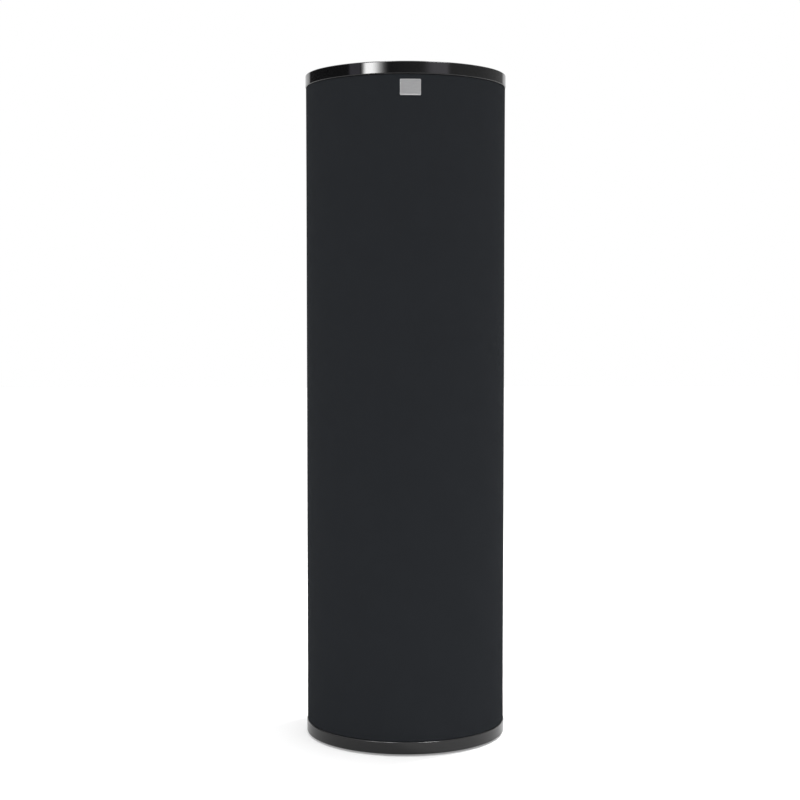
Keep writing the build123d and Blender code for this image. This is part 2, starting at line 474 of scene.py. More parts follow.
class EffectGroups:
    """Builds each shared node group once and places it in materials."""

    NOISE_RANGE = (0.3, 0.7)  # what a noise texture mostly gives

    def __init__(self) -> None:
        """Starts with no group built."""
        self.built: dict[Effect, bpy.types.NodeTree] = {}

    def place(self, nodes: Nodes, effect: Effect, **inputs: Value) -> bpy.types.Node:
        """Adds an effect to a material.

        Args:
            nodes: the material's nodes.
            effect: which effect.
            inputs: its values and links, by the sockets' names.

        Returns:
            The group node.
        """
        if effect not in self.built:
            self.built[effect] = getattr(self, f"_build_{effect.name.lower()}")()
        return nodes.add("ShaderNodeGroup", inputs, node_tree=self.built[effect])

    @staticmethod
    def _start(effect: Effect, inputs: dict[str, float | None], outputs: list[str]) -> tuple:
        """Makes a group's sockets.

        Args:
            effect: which effect.
            inputs: name to default value, or to None for a vector.
            outputs: the names of its outputs, which are all numbers.

        Returns:
            Its nodes, the input node's sockets, and the output node's.
        """
        tree = bpy.data.node_groups.new(effect.value, "ShaderNodeTree")
        for name, default in inputs.items():
            kind = "NodeSocketVector" if default is None else "NodeSocketFloat"
            socket = tree.interface.new_socket(name, in_out="INPUT", socket_type=kind)
            if default is not None:
                socket.default_value = default
        for name in outputs:
            tree.interface.new_socket(name, in_out="OUTPUT", socket_type="NodeSocketFloat")
        nodes = Nodes(tree)
        return nodes, nodes.add("NodeGroupInput").outputs, nodes.add("NodeGroupOutput").inputs

    def _build_variation(self) -> bpy.types.NodeTree:
        """Makes cloudy unevenness between two values.

        Returns:
            The group.
        """
        inputs = {"Vector": None, "Scale": 50.0, "Low": 0.0, "High": 1.0}
        nodes, given, result = self._start(Effect.VARIATION, inputs, ["Value"])
        clouds = nodes.noise(given["Vector"], given["Scale"], detail=3.0, roughness=0.55)
        nodes.feed(result["Value"], nodes.span(clouds, *self.NOISE_RANGE, given["Low"], given["High"]))
        return nodes.tree

    def _build_weave(self) -> bpy.types.NodeTree:
        """Makes columns of small slanted stitches, as on a fine knit.

        Returns:
            The group.
        """
        inputs = {"Vector": None, "Column": 0.0006, "Stitch": 0.0005, "Slant": 0.9}
        nodes, given, result = self._start(Effect.WEAVE, inputs, ["Height", "Gap"])
        x, y, _ = nodes.axes(given["Vector"])
        column = nodes.math("FRACT", nodes.math("DIVIDE", x, given["Column"]))
        across = nodes.math("ABSOLUTE", nodes.math("SUBTRACT", column, 0.5))
        along = nodes.math("DIVIDE", y, given["Stitch"])
        slanted = nodes.math("ADD", along, nodes.times(across, given["Slant"]))
        trough, crest = -0.8, 0.9
        thread = nodes.span(nodes.math("SINE", nodes.times(slanted, math.tau)), trough, crest)
        column_edge, column_top = 0.5, 0.12  # how far from a column's middle, as shares of its width
        wale = nodes.span(across, column_edge, column_top)
        height = nodes.times(wale, thread)
        nodes.feed(result["Height"], height)
        nodes.feed(result["Gap"], nodes.math("SUBTRACT", 1.0, height, clamp=True))
        return nodes.tree

    def _build_scratches(self) -> bpy.types.NodeTree:
        """Makes hairlines that run mostly along X of the vector.

        Returns:
            The group.
        """
        inputs = {"Vector": None, "Lines": 900.0, "Length": 12.0, "Amount": 0.3}
        nodes, given, result = self._start(Effect.SCRATCHES, inputs, ["Mask"])
        x, y, z = nodes.axes(given["Vector"])
        inputs = {0: nodes.times(x, given["Length"]), 1: nodes.times(y, given["Lines"]), 2: z}
        lines = nodes.noise(nodes.add("ShaderNodeCombineXYZ", inputs).outputs[0], 1.0, detail=4.0)
        faintest, clearest = 0.62, 0.72
        nodes.feed(result["Mask"], nodes.times(nodes.span(lines, faintest, clearest), given["Amount"]))
        return nodes.tree

    def _build_dust(self) -> bpy.types.NodeTree:
        """Makes sparse specks and short bits of lint.

        Returns:
            The group.
        """
        inputs = {"Vector": None, "Spots": 120.0, "Size": 0.10, "Amount": 0.5}
        nodes, given, result = self._start(Effect.DUST, inputs, ["Mask"])
        where = {"Vector": given["Vector"], "Scale": given["Spots"]}
        cells = nodes.add("ShaderNodeTexVoronoi", where).outputs
        speck = nodes.span(cells["Distance"], given["Size"], 0.0)
        draw = nodes.add("ShaderNodeSeparateColor", {0: cells["Color"]}).outputs[0]
        first_shown, all_shown = 0.80, 0.95
        mask = nodes.times(speck, nodes.span(draw, first_shown, all_shown))
        nodes.feed(result["Mask"], nodes.times(mask, given["Amount"]))
        return nodes.tree

    def _build_edge_wear(self) -> bpy.types.NodeTree:
        """Makes rubbed patches along an exposed edge.

        Returns:
            The group.
        """
        inputs = {"Vector": None, "Edge": 0.0, "Patches": 60.0, "Amount": 0.5}
        nodes, given, result = self._start(Effect.EDGE_WEAR, inputs, ["Mask"])
        unrubbed, rubbed = 0.45, 0.7
        patches = nodes.span(nodes.noise(given["Vector"], given["Patches"], detail=5.0), unrubbed, rubbed)
        nodes.feed(result["Mask"], nodes.times(nodes.times(patches, given["Edge"]), given["Amount"]))
        return nodes.tree

    def _build_wood(self) -> bpy.types.NodeTree:
        """Makes growth rings and fibres that run along Z of the vector.

        Returns:
            The group.
        """
        inputs = {"Vector": None, "Rings": 90.0, "Waviness": 2.5, "Fibres": 2500.0}
        nodes, given, result = self._start(Effect.WOOD, inputs, ["Rings", "Fibres"])
        ring_run, fibre_run = 0.06, 0.02  # how much slower each changes along the trunk
        long = nodes.stretched(given["Vector"], (1.0, 1.0, ring_run))
        rings = nodes.add(
            "ShaderNodeTexWave",
            {"Vector": long, "Scale": given["Rings"], "Distortion": given["Waviness"], "Detail": 2.0},
            wave_type="RINGS", rings_direction="Z", wave_profile="SAW",
        )
        fibres = nodes.noise(nodes.stretched(given["Vector"], (1.0, 1.0, fibre_run)), given["Fibres"])
        nodes.feed(result["Rings"], rings.outputs["Fac"])
        nodes.feed(result["Fibres"], fibres)
        return nodes.tree

    def _build_fibres(self) -> bpy.types.NodeTree:
        """Makes matted fibres that lie mostly along X of the vector, with lumps under them.

        Returns:
            The group.
        """
        inputs = {"Vector": None, "Fibres": 1500.0, "Lumps": 60.0}
        nodes, given, result = self._start(Effect.FIBRES, inputs, ["Height"])
        strand_run = 0.12  # how much slower a strand changes along itself
        drawn_out = nodes.stretched(given["Vector"], (strand_run, 1.0, 1.0))
        strands = nodes.noise(drawn_out, given["Fibres"], detail=3.0)
        lumps = nodes.noise(given["Vector"], given["Lumps"])
        deepest, highest = 0.1, 0.45
        nodes.feed(result["Height"], nodes.span(nodes.times(strands, lumps), deepest, highest))
        return nodes.tree


EFFECTS = EffectGroups()


# Finishes -----------------------------------------------------------------------------------------
@dataclass(frozen=True)
class Layers:
    """What a finish's pattern hands to its shader."""

    colour: Socket
    height: Socket  # from 0 to 1
    duller: Value = 0.0  # what the pattern adds to the roughness


@dataclass(frozen=True)
class Finish:
    """What every finish has: the record's slot, which gives its colour, and its plain shader values."""

    slot: str
    roughness: float = 0.5
    metallic: float = 0.0
    specular: float = 0.5
    sheen: float = 0.0
    uneven: float = 0.08  # how far the roughness strays either way
    dull_clouds: float = 60.0  # clouds of roughness in a metre
    tone: float = 0.10  # how far the colour strays either way, as a share
    depth: float = 0.0001  # of the relief
    on_node: bool = False  # whether the piece is a node of the frame, which has no UV map

    def build(self, name: str) -> bpy.types.Material:
        """Makes the material.

        Args:
            name: the material's name.

        Returns:
            The material, with its pattern, roughness and relief linked.
        """
        material = bpy.data.materials.new(name)
        material.use_nodes = True
        nodes = Nodes(material.node_tree)
        shader = nodes.tree.nodes["Principled BSDF"].inputs
        shader["Metallic"].default_value = self.metallic
        shader["Specular IOR Level"].default_value = self.specular
        shader["Sheen Weight"].default_value = self.sheen
        place = self.place(nodes)
        layers = self.dress(nodes, place)
        nodes.feed(shader["Base Color"], layers.colour)
        rough = self.varied(nodes, place, self.dull_clouds, self.roughness, self.uneven)
        nodes.feed(shader["Roughness"], nodes.math("ADD", rough, layers.duller, clamp=True))
        bump = nodes.add("ShaderNodeBump", {"Height": layers.height, "Distance": self.depth, "Strength": 1.0})
        nodes.feed(shader["Normal"], bump.outputs[0])
        return material

    def place(self, nodes: Nodes) -> Socket:
        """Picks the coordinates that the pattern reads, in metres.

        Args:
            nodes: the material's nodes.

        Returns:
            The object's own coordinates on a node of the frame, and else the piece's UV map.
        """
        if self.on_node:
            return nodes.add("ShaderNodeTexCoord").outputs["Object"]
        return nodes.add("ShaderNodeUVMap", uv_map=UV_NAME).outputs[0]

    def shade(self, share: float) -> Colour:
        """Makes the slot's colour lighter or darker.

        Args:
            share: by what share of itself.

        Returns:
            The colour.
        """
        return tuple(min(1.0, c * (1 + share)) for c in slot_colour(self.slot)) + (1.0,)

    def shades(self, nodes: Nodes, share: Value, middle: float = 0.0) -> Socket:
        """Lets the slot's colour stray by the finish's tone.

        Args:
            nodes: the material's nodes.
            share: where it is on its way from the darkest to the lightest, from 0 to 1.
            middle: how much lighter than the slot's colour its middle is.

        Returns:
            The colour.
        """
        return nodes.blend(share, self.shade(middle - self.tone), self.shade(middle + self.tone))

    def varied(
        self, nodes: Nodes, vector: Value, scale: float, middle: float = 0.5, spread: float = 0.5
    ) -> Socket:
        """Makes a value that strays cloudily about its middle.

        Args:
            nodes: the material's nodes.
            vector: where the pattern is read.
            scale: clouds in a unit of the vector.
            middle: the middle value.
            spread: how far it strays either way.

        Returns:
            The value.
        """
        variation = EFFECTS.place(
            nodes, Effect.VARIATION, Vector=vector, Scale=scale, Low=middle - spread, High=middle + spread
        )
        return variation.outputs[0]

    def dress(self, nodes: Nodes, place: Socket) -> Layers:
        """Makes the pattern. Each finish has its own.

        Args:
            nodes: the material's nodes.
            place: the coordinates that the pattern reads.

        Returns:
            Its layers.
        """
        raise NotImplementedError


@dataclass(frozen=True)
class StretchFabric(Finish):
    """Fine black stretch knit: matt, with small stitches, faint clouds and a little lint, and painted light
    and shade on its stitches.
    """

    column: float = 0.0006
    stitch: float = 0.0005
    stitch_top_painted_light: float = 0.85  # painted light: how much lighter than the slot's colour the top of a stitch is painted, set against the painted shade in the gaps
    # painted shade in the gaps between stitches: how much darker than the slot's colour, and how strongly it
    # shows
    gap_painted_shade: float = -0.50
    gap_shade_share: float = 0.8
    clouds: float = 14.0
    cloud_share: float = 0.6
    wales: tuple[float, float, float] = (260.0, 3.0, 1.0)  # long faint streaks up the cloth
    lint_spots: float = 70.0
    lint_size: float = 0.05
    lint: float = 0.125
    lint_colour: Colour = (0.16, 0.16, 0.17, 1.0)
    nap: float = 2600.0
    nap_share: float = 0.4

    def dress(self, nodes: Nodes, place: Socket) -> Layers:
        """Makes the knit with painted light on the stitch tops and painted shade in the gaps, the lint and
        the nap.

        Args:
            nodes: the material's nodes.
            place: the coordinates that the pattern reads.

        Returns:
            Its layers.
        """
        knit = EFFECTS.place(
            nodes, Effect.WEAVE, Vector=place, Column=self.column, Stitch=self.stitch
        ).outputs
        clouds = nodes.times(self.varied(nodes, place, self.clouds), self.cloud_share)
        wales = self.varied(nodes, nodes.stretched(place, self.wales), 1.0)
        tone = nodes.math("ADD", clouds, nodes.times(wales, 1.0 - self.cloud_share))
        # Painted light on the stitch tops, then painted shade in the gaps between them.
        colour = self.shades(nodes, tone, self.stitch_top_painted_light)
        colour = nodes.blend(nodes.times(knit["Gap"], self.gap_shade_share), colour, self.shade(self.gap_painted_shade))
        lint = EFFECTS.place(
            nodes, Effect.DUST, Vector=place, Spots=self.lint_spots, Size=self.lint_size, Amount=self.lint
        )
        colour = nodes.blend(lint.outputs[0], colour, self.lint_colour)
        nap = nodes.times(self.varied(nodes, place, self.nap), self.nap_share)
        return Layers(colour, nodes.math("ADD", knit["Height"], nap))


@dataclass(frozen=True)
class SewingThread(Finish):
    """Black polyester thread with a slight shine, and a painted highlight along the ridges of its twist."""

    on_node: bool = True
    twist: float = 5200.0  # turns of the twist in a metre
    slant: float = 0.8

    def dress(self, nodes: Nodes, place: Socket) -> Layers:
        """Makes the twist's lines, with a painted highlight on their ridges.

        Args:
            nodes: the material's nodes.
            place: the coordinates that the pattern reads.

        Returns:
            Its layers.
        """
        x, _, z = nodes.axes(place)
        slanted = nodes.math("ADD", z, nodes.times(x, self.slant))
        lines = nodes.span(nodes.math("SINE", nodes.times(slanted, math.tau * self.twist)), -1.0, 1.0)
        # The twist's ridges are painted lighter by the tone: a painted highlight.
        return Layers(nodes.blend(lines, self.shade(0.0), self.shade(self.tone)), lines)


@dataclass(frozen=True)
class GlossPlastic(Finish):
    """High-gloss edge band: faint orange peel, hairlines, and rubbed, duller edges."""

    patches: float = 90.0
    wear: float = 0.25
    wear_tone: float = 2.0
    wear_dulling: float = 0.25
    hair_lines: float = 2200.0
    hair_length: float = 25.0
    hair_dulling: float = 0.04
    ripple: tuple[float, float, float] = (40.0, 18.0, 1.0)

    def dress(self, nodes: Nodes, place: Socket) -> Layers:
        """Makes the ripple, the hairlines and the wear.

        Args:
            nodes: the material's nodes.
            place: the coordinates that the pattern reads.

        Returns:
            Its layers.
        """
        edge = nodes.add("ShaderNodeAttribute", attribute_name=EDGE_NAME).outputs["Fac"]
        worn = EFFECTS.place(
            nodes, Effect.EDGE_WEAR, Vector=place, Edge=edge, Patches=self.patches, Amount=self.wear
        ).outputs[0]
        hair = EFFECTS.place(
            nodes, Effect.SCRATCHES, Vector=place, Lines=self.hair_lines, Length=self.hair_length,
            Amount=self.hair_dulling,
        ).outputs[0]
        colour = nodes.blend(worn, self.shade(-self.tone), self.shade(self.wear_tone))
        ripple = self.varied(nodes, nodes.stretched(place, self.ripple), 1.0)
        return Layers(colour, ripple, nodes.math("ADD", nodes.times(worn, self.wear_dulling), hair))


@dataclass(frozen=True)
class PlainSurface(Finish):
    """Cloudy colour, a fine grain and a little dust."""

    dull_clouds: float = 36.0
    depth: float = 0.00003
    on_node: bool = True
    base: float = 0.0  # how much lighter than its slot's colour the finish is
    grain: float = 900.0
    clouds: float = 12.0
    dust_spots: float = 220.0
    dust: float = 0.12  # both the size of a speck, as a share of its cell, and how much it shows
    dust_colour: Colour = (0.4, 0.4, 0.39, 1.0)

    def dress(self, nodes: Nodes, place: Socket) -> Layers:
        """Makes the clouds, the dust and the grain.

        Args:
            nodes: the material's nodes.
            place: the coordinates that the pattern reads.

        Returns:
            Its layers.
        """
        colour = self.shades(nodes, self.varied(nodes, place, self.clouds), self.base)
        dust = EFFECTS.place(
            nodes, Effect.DUST, Vector=place, Spots=self.dust_spots, Size=self.dust, Amount=self.dust
        )
        colour = nodes.blend(dust.outputs[0], colour, self.dust_colour)
        return Layers(colour, self.varied(nodes, place, self.grain))


@dataclass(frozen=True)
class BrushedPlate(Finish):
    """Silver plate brushed from left to right, lighter and smoother on its raised border."""

    plate_tone: float = -0.42  # how much darker than its slot's colour the plate is
    border_tone: float = -0.25
    border_share: float = 0.8
    border_polish: float = -0.12
    brush_lines: float = 9000.0
    brush_length: float = 120.0
    brush: float = 0.35
    brush_tone: float = 0.15
    strokes: tuple[float, float, float] = (70.0, 7000.0, 1.0)

    def dress(self, nodes: Nodes, place: Socket) -> Layers:
        """Makes the brush lines and the bright border.

        Args:
            nodes: the material's nodes.
            place: the coordinates that the pattern reads.

        Returns:
            Its layers.
        """
        edge = nodes.add("ShaderNodeAttribute", attribute_name=EDGE_NAME).outputs["Fac"]
        brushed = EFFECTS.place(
            nodes, Effect.SCRATCHES, Vector=place, Lines=self.brush_lines, Length=self.brush_length,
            Amount=1.0,
        ).outputs[0]
        strokes = self.varied(nodes, nodes.stretched(place, self.strokes), 1.0)
        colour = self.shades(nodes, strokes, self.plate_tone)
        line_colour = self.shade(self.plate_tone + self.brush_tone)
        colour = nodes.blend(nodes.times(brushed, self.brush), colour, line_colour)
        colour = nodes.blend(nodes.times(edge, self.border_share), colour, self.shade(self.border_tone))
        return Layers(colour, nodes.math("ADD", strokes, brushed), nodes.times(edge, self.border_polish))


@dataclass(frozen=True)
class SawnWood(Finish):
    """Planed softwood: rings and fibres."""

    dull_clouds: float = 80.0
    depth: float = 0.00003
    on_node: bool = True
    rings: float = 60.0
    late_wood: float = -0.35
    fibre_share: float = 0.3

    def dress(self, nodes: Nodes, place: Socket) -> Layers:
        """Makes the rings and fibres.

        Args:
            nodes: the material's nodes.
            place: the coordinates that the pattern reads.

        Returns:
            Its layers.
        """
        wood = EFFECTS.place(nodes, Effect.WOOD, Vector=place, Rings=self.rings).outputs
        colour = nodes.blend(wood["Rings"], self.shade(self.tone), self.shade(self.late_wood))
        colour = nodes.blend(nodes.times(wood["Fibres"], self.fibre_share), colour, self.shade(-self.tone))
        return Layers(colour, wood["Fibres"])


@dataclass(frozen=True)
class Plywood(SawnWood):
    """Birch plywood: a plain face, and plies that show as stripes on the edge."""

    rings: float = 14.0
    waviness: float = 6.0
    ply: float = 0.0015
    ply_edge: tuple[float, float] = (0.3, 0.7)  # where a stripe begins and ends to show, as shares of a ply
    face_from: tuple[float, float] = (0.3, 0.7)  # how upright the normal is where the stripes end

    def dress(self, nodes: Nodes, place: Socket) -> Layers:
        """Makes the face grain, and the stripes where the surface stands upright.

        Args:
            nodes: the material's nodes.
            place: the coordinates that the pattern reads.

        Returns:
            Its layers.
        """
        on_its_side = {"Vector": place, "Rotation": (0.0, math.pi / 2, 0.0)}
        lying = nodes.add("ShaderNodeMapping", on_its_side).outputs[0]
        wood = EFFECTS.place(
            nodes, Effect.WOOD, Vector=lying, Rings=self.rings, Waviness=self.waviness
        ).outputs
        face = nodes.blend(wood["Rings"], self.shade(self.tone), self.shade(-self.tone))
        stripe = nodes.math("PINGPONG", nodes.axes(place)[2], self.ply)
        stripe = nodes.span(stripe, *(share * self.ply for share in self.ply_edge))
        edge = nodes.blend(stripe, face, self.shade(self.late_wood))
        normal = nodes.add("ShaderNodeNewGeometry").outputs["Normal"]
        lying_face = nodes.span(nodes.math("ABSOLUTE", nodes.axes(normal)[2]), *self.face_from)
        return Layers(nodes.blend(lying_face, edge, face), wood["Fibres"])


@dataclass(frozen=True)
class Fibrous(Finish):
    """Matted mineral wool or fleece, with painted shade deep among the fibres and painted light on the
    highest.
    """

    dull_clouds: float = 90.0
    depth: float = 0.0006
    fibres: float = 1500.0
    lumps: float = 60.0
    clouds: float = 20.0
    # painted shade deep among the fibres, and painted light on the highest ones
    deep_painted_shade: float = -0.35
    high_tone: float = 0.2

    def dress(self, nodes: Nodes, place: Socket) -> Layers:
        """Makes the fibres and the lumps, and colours them by height: painted shade deep down, painted light
        on top, over random clouds of tone.

        Args:
            nodes: the material's nodes.
            place: the coordinates that the pattern reads.

        Returns:
            Its layers.
        """
        mat = EFFECTS.place(
            nodes, Effect.FIBRES, Vector=place, Fibres=self.fibres, Lumps=self.lumps
        ).outputs[0]
        clouds = self.varied(nodes, place, self.clouds, 0.0, self.tone)
        # The colour follows the fibres' height, as painted shade and painted light, with random clouds added.
        share = nodes.math("ADD", mat, clouds, clamp=True)
        return Layers(nodes.blend(share, self.shade(self.deep_painted_shade), self.shade(self.high_tone)), mat)


@dataclass(frozen=True)
class ClothTape(Finish):
    """Coated cloth tape: a coarse square weave under a dull film, with painted shade in the weave's gaps."""

    depth: float = 0.00012
    thread_pitch: float = 0.0009
    clouds: float = 40.0
    # painted shade in the weave's gaps: how much darker, and how strongly it shows
    gap_painted_shade: float = -0.3
    gap_shade_share: float = 0.3

    def dress(self, nodes: Nodes, place: Socket) -> Layers:
        """Makes the weave with painted shade in its gaps, and the film's wear.

        Args:
            nodes: the material's nodes.
            place: the coordinates that the pattern reads.

        Returns:
            Its layers.
        """
        pitch = self.thread_pitch
        cloth = EFFECTS.place(
            nodes, Effect.WEAVE, Vector=place, Column=pitch, Stitch=pitch, Slant=0.0
        ).outputs
        colour = self.shades(nodes, self.varied(nodes, place, self.clouds))
        # painted shade in the gaps of the weave
        colour = nodes.blend(nodes.times(cloth["Gap"], self.gap_shade_share), colour, self.shade(self.gap_painted_shade))
        return Layers(colour, cloth["Height"])


# The thread's tone is the painted highlight on its twist's ridges.
THREAD = SewingThread(
    "cover_fabric", roughness=0.42, specular=0.45, dull_clouds=90.0, tone=0.6, depth=0.00004
).build("seam_thread")
FINISHES = (
    StretchFabric(
        "cover_fabric", roughness=0.95, specular=0.02, sheen=0.005, uneven=0.04, dull_clouds=30.0, tone=0.05
    ),
    GlossPlastic("edge_band", roughness=0.06, uneven=0.015, dull_clouds=25.0, tone=0.5, depth=0.00002),
    PlainSurface(
        "board_melamine", roughness=0.45, specular=0.2, uneven=0.02, tone=0.04, depth=0.00009, base=-0.4,
        grain=1100.0,
    ),
    PlainSurface("cap_plastic", grain=1400.0),
    PlainSurface("foot_rubber", roughness=0.8, specular=0.3, tone=0.25, depth=0.0001),
    PlainSurface("badge_adhesive", roughness=0.7),
    PlainSurface("zinc_steel", roughness=0.34, metallic=1.0, dull_clouds=360.0, tone=0.15, clouds=120.0),
    PlainSurface("reflector_plastic", roughness=0.45, grain=600.0),
    BrushedPlate(
        "badge_aluminium", roughness=0.42, metallic=0.3, uneven=0.04, dull_clouds=250.0, tone=0.06,
        depth=0.00001,
    ),
    SawnWood("pine", roughness=0.65, specular=0.3),
    Plywood("plywood", roughness=0.6, specular=0.3),
    Fibrous("mineral_wool", roughness=0.95, specular=0.15, tone=0.2),
    Fibrous("fleece", roughness=0.9, specular=0.15, sheen=0.1, fibres=2600.0, depth=0.0002),
    ClothTape("cloth_tape", roughness=0.45),
)
MATERIALS: dict[str, bpy.types.Material] = {finish.slot: finish.build(finish.slot) for finish in FINISHES}


# Geometry Nodes -----------------------------------------------------------------------------------
class Scatter:
    """A Geometry Nodes tree with named inputs, run once to a plain mesh."""

    def __init__(self, name: str, inputs: dict[str, tuple[str, object]]) -> None:
        """Makes the tree's sockets.

        Args:
            name: the tree's and the piece's name.
            inputs: socket name to its type and its value for this piece.
        """
        self.name, self.values = name, inputs
        tree = bpy.data.node_groups.new(name, "GeometryNodeTree")
        tree.interface.new_socket("Geometry", in_out="INPUT", socket_type="NodeSocketGeometry")
        tree.interface.new_socket("Geometry", in_out="OUTPUT", socket_type="NodeSocketGeometry")
        for key, (kind, _) in inputs.items():
            tree.interface.new_socket(key, in_out="INPUT", socket_type=kind)
        self.nodes = Nodes(tree)
        self.given = self.nodes.add("NodeGroupInput").outputs
        self.result = self.nodes.add("NodeGroupOutput").inputs

    def random_turn(self, low: Value, high: Value) -> Socket:
        """Draws a rotation for each instance, by the tree's own seed.

        Args:
            low: the least turn about each axis, in radians.
            high: the greatest.

        Returns:
            The rotation.
        """
        draw = self.nodes.add("FunctionNodeRandomValue", data_type="FLOAT_VECTOR")
        for socket, value in ((0, low), (1, high), ("Seed", self.given["Seed"])):
            self.nodes.feed(draw.inputs[socket], value)
        return draw.outputs[0]

    def moved(self, geometry: Socket, **axis: Value) -> Socket:
        """Shifts geometry.

        Args:
            geometry: what is shifted.
            axis: how far along X, Y or Z.

        Returns:
            The shifted geometry.
        """
        shift = self.nodes.add("ShaderNodeCombineXYZ", axis).outputs[0]
        inputs = {"Geometry": geometry, "Translation": shift}
        return self.nodes.add("GeometryNodeTransform", inputs).outputs[0]

    def finish(self, geometry: Socket) -> bpy.types.Object:
        """Realises and dresses what the tree made, and turns it into a plain mesh.

        Args:
            geometry: the instances.

        Returns:
            The piece, at the origin.
        """
        nodes = self.nodes
        whole = nodes.add("GeometryNodeRealizeInstances", {"Geometry": geometry}).outputs[0]
        inputs = {"Geometry": whole, "Material": self.given["Material"]}
        nodes.feed(self.result["Geometry"], nodes.add("GeometryNodeSetMaterial", inputs).outputs[0])
        holder = add_mesh_object(f"{self.name}_tree", bpy.data.meshes.new(f"{self.name}_tree"))
        modifier = holder.modifiers.new("scatter", "NODES")
        modifier.node_group = nodes.tree
        for socket in nodes.tree.interface.items_tree:
            if socket.in_out == "INPUT" and socket.name in self.values:
                modifier[socket.identifier] = self.values[socket.name][1]
        evaluated = holder.evaluated_get(bpy.context.evaluated_depsgraph_get())
        mesh = bpy.data.meshes.new_from_object(evaluated)
        bpy.data.objects.remove(holder)
        return add_mesh_object(self.name, mesh)


# The sleeve ---------------------------------------------------------------------------------------
@dataclass
class FabricSleeve:
    """The stretched cover: folded in at both ends, and sewn up the back."""

    thickness: float = 0.001
    corner: float = 0.0016
    corner_steps: int = 6
    fold: float = 0.030
    columns: int = 360
    fine_step: float = 0.004  # between rows near the boards
    fine_reach: float = 0.048
    coarse_step: float = 0.012
    end_ripple: float = 0.00010
    end_ripple_reach: float = 0.016
    end_waves: Waves = ((23, 0.0), (31, 40.0), (44, -30.0))
    end_seed: int = 3
    swell: float = 0.00014
    swell_waves: Waves = ((3, 4.0), (5, -7.0), (8, 11.0), (2, 19.0))
    swell_seed: int = 5
    seam_allowance: float = 0.009
    radius: float = field(init=False)
    low: float = field(init=False)
    high: float = field(init=False)

    def __post_init__(self) -> None:
        """Reads the cover's place from the frame."""
        self.radius = outer_radius("fabric_cover")
        self.low, self.high = levels("fabric_cover")

    def build(self) -> None:
        material = MATERIALS["cover_fabric"]
        seam = RearSeam(self.radius, self.low, self.high, self.corner)
        cloth = settle(self._cloth(), "cover_fabric", material, "fabric_cover")
        ridge = settle(seam.ridge(), "cover_fabric", material)
        stitches = settle(seam.stitches(), "cover_fabric", THREAD)

    def _side_levels(self) -> np.ndarray:
        """Spaces the rows up the straight side, closer together near the boards.

        Returns:
            Their levels.
        """
        bottom, top = self.low + self.corner, self.high - self.corner
        fine = np.arange(0, self.fine_reach, self.fine_step)
        coarse_rows = int((top - bottom - 2 * self.fine_reach) / self.coarse_step)
        middle = np.linspace(bottom + self.fine_reach, top - self.fine_reach, coarse_rows)
        return np.concatenate([bottom + fine, middle, top - fine[::-1]])

    def _outline(self, inset: float) -> list[tuple[float, float]]:
        """Draws the cloth's surface from its lower folded end to its upper one.

        Args:
            inset: how far inside the outer surface.

        Returns:
            Its points, as (radius, height).
        """
        corner, turn = self.corner - inset, self.radius - self.corner
        low, high = self.low + inset, self.high - inset
        inner_end = self.radius - self.fold
        half_way = (inner_end + turn) / 2
        lower = [(inner_end, low), (half_way, low)]
        lower += arc((turn, self.low + self.corner), corner, -90, 0, self.corner_steps)
        side = [(self.radius - inset, level) for level in self._side_levels()[1:-1]]
        upper = arc((turn, self.high - self.corner), corner, 0, 90, self.corner_steps)
        return [*lower, *side, *upper, (half_way, high), (inner_end, high)]

    def _cloth(self) -> bpy.types.Object:
        """Makes the cloth itself, one closed skin of its real thickness.

        Returns:
            The piece.
        """
        profile = np.array(self._outline(0.0) + self._outline(self.thickness)[::-1])
        around = np.arange(self.columns + 1) / self.columns * math.tau
        angles = REAR + around[:-1]
        heights = profile[:, 1]
        from_end = np.minimum(heights - self.low, self.high - heights)
        ends = np.exp(-from_end / self.end_ripple_reach) * self.end_ripple
        relief = ends[:, None] * waves(self.end_waves, angles, heights, self.end_seed)
        relief += self.swell * waves(self.swell_waves, angles, heights, self.swell_seed)
        straight = np.clip(from_end / self.fine_reach, 0.0, 1.0)[:, None]
        relief = (relief - self.swell) * straight * (profile[:, :1] > self.radius - 2 * self.corner)
        points = revolve(profile, angles, relief)
        grid = SurfaceGrid(points, distances(profile), around * self.radius, closed_columns=True)
        return grid.build("cover_cloth")


